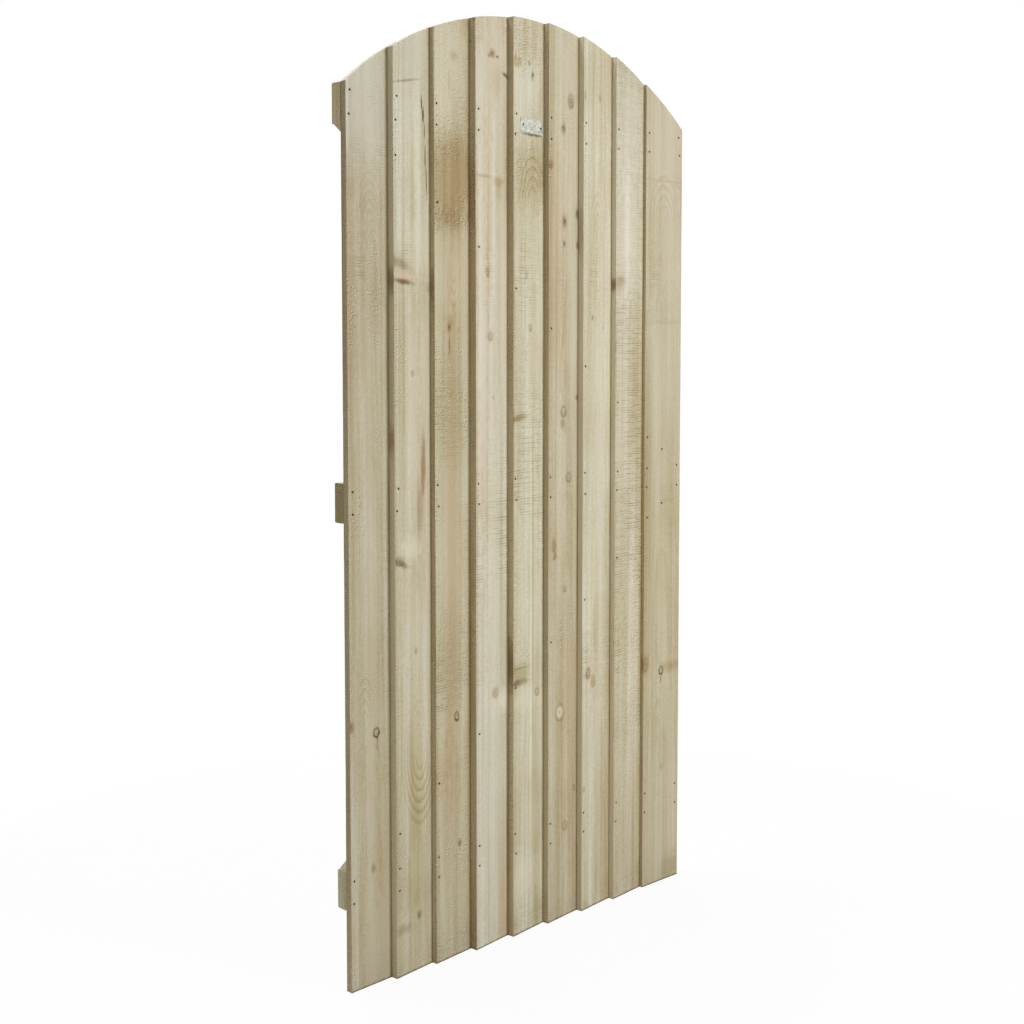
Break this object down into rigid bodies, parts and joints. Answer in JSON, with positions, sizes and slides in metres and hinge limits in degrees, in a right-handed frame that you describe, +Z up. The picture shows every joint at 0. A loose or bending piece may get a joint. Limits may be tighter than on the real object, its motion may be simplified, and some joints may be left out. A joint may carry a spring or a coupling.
{
  "type": "arched featheredge gate",
  "caption": "Arch-topped garden gate leaf of lapped, tapered softwood boards nailed to ledges and diagonal braces, with a small blank metal tag.",
  "frame": {"origin": "bottom centre of the leaf, in the plane where the boards bear on the ledges", "axes": "+X to the right seen from the front, +Y to the back (the ledge side), +Z up"},
  "size_m": [0.9, 0.0502, 1.8],
  "materials": {
    "featheredge_boards": "rough sawn",
    "sawn_framing": "sawn, eased edges",
    "nail_steel": "dull galvanised",
    "tag_metal": "dull"
  },
  "bodies": {
    "root": {"board_1": "featheredge_boards", "board_2": "featheredge_boards", "board_3": "featheredge_boards", "board_4": "featheredge_boards", "board_5": "featheredge_boards", "board_6": "featheredge_boards", "board_7": "featheredge_boards", "board_8": "featheredge_boards", "board_9": "featheredge_boards", "top_ledge": "sawn_framing", "middle_ledge": "sawn_framing", "bottom_ledge": "sawn_framing", "upper_brace": "sawn_framing", "lower_brace": "sawn_framing", "top_ledge_nails": "nail_steel", "middle_ledge_nails": "nail_steel", "bottom_ledge_nails": "nail_steel", "upper_brace_nails": "nail_steel", "lower_brace_nails": "nail_steel", "tag_pins": "nail_steel", "tag_plate": "tag_metal"}
  },
  "joints": []
}
